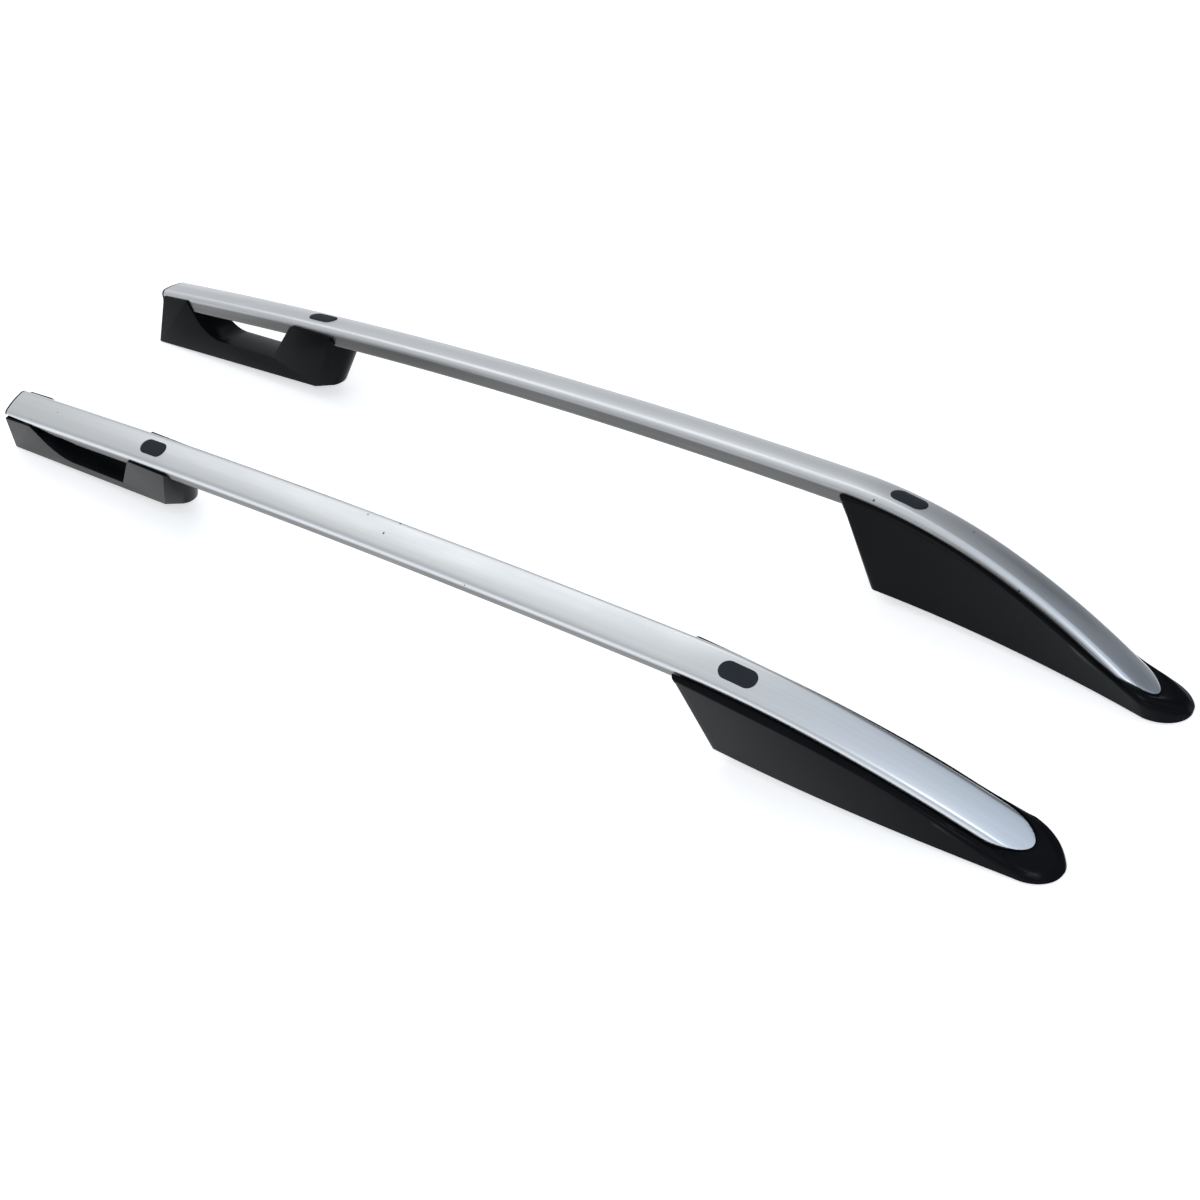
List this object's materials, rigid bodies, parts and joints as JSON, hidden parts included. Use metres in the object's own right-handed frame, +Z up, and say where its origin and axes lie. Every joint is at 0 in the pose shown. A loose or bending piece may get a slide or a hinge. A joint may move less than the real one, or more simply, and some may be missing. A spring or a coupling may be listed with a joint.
{
  "type": "roof side rail pair",
  "caption": "Mirrored pair of bowed satin aluminium roof side rails, each on a black windowed rear foot and a black wedge cover that takes the rail's front tip.",
  "frame": {"origin": "centre of the pair's bounding box in plan, on the plane that the pads touch", "axes": "+X toward the front tips of the rails, +Y toward the left rail, +Z up"},
  "size_m": [1.7312, 0.3848, 0.154],
  "materials": {
    "rail_aluminium": "satin anodised",
    "black_plastic": "satin black",
    "plug_plastic": "matte black",
    "gasket_rubber": "matte",
    "cast_aluminium": "as cast",
    "zinc_steel": "zinc plated"
  },
  "bodies": {
    "root": {"left_rail": "rail_aluminium", "left_rear_end_cap": "black_plastic", "left_rear_plug": "plug_plastic", "left_front_plug": "plug_plastic", "left_rear_foot": "black_plastic", "left_rear_gasket": "gasket_rubber", "left_front_cover": "black_plastic", "left_front_bracket": "cast_aluminium", "left_front_gasket": "gasket_rubber", "left_rail_screws": "zinc_steel", "left_foot_inserts": "zinc_steel", "left_bracket_inserts": "zinc_steel", "left_cover_screws": "zinc_steel", "right_rail": "rail_aluminium", "right_rear_end_cap": "black_plastic", "right_rear_plug": "plug_plastic", "right_front_plug": "plug_plastic", "right_rear_foot": "black_plastic", "right_rear_gasket": "gasket_rubber", "right_front_cover": "black_plastic", "right_front_bracket": "cast_aluminium", "right_front_gasket": "gasket_rubber", "right_rail_screws": "zinc_steel", "right_foot_inserts": "zinc_steel", "right_bracket_inserts": "zinc_steel", "right_cover_screws": "zinc_steel"}
  },
  "joints": []
}
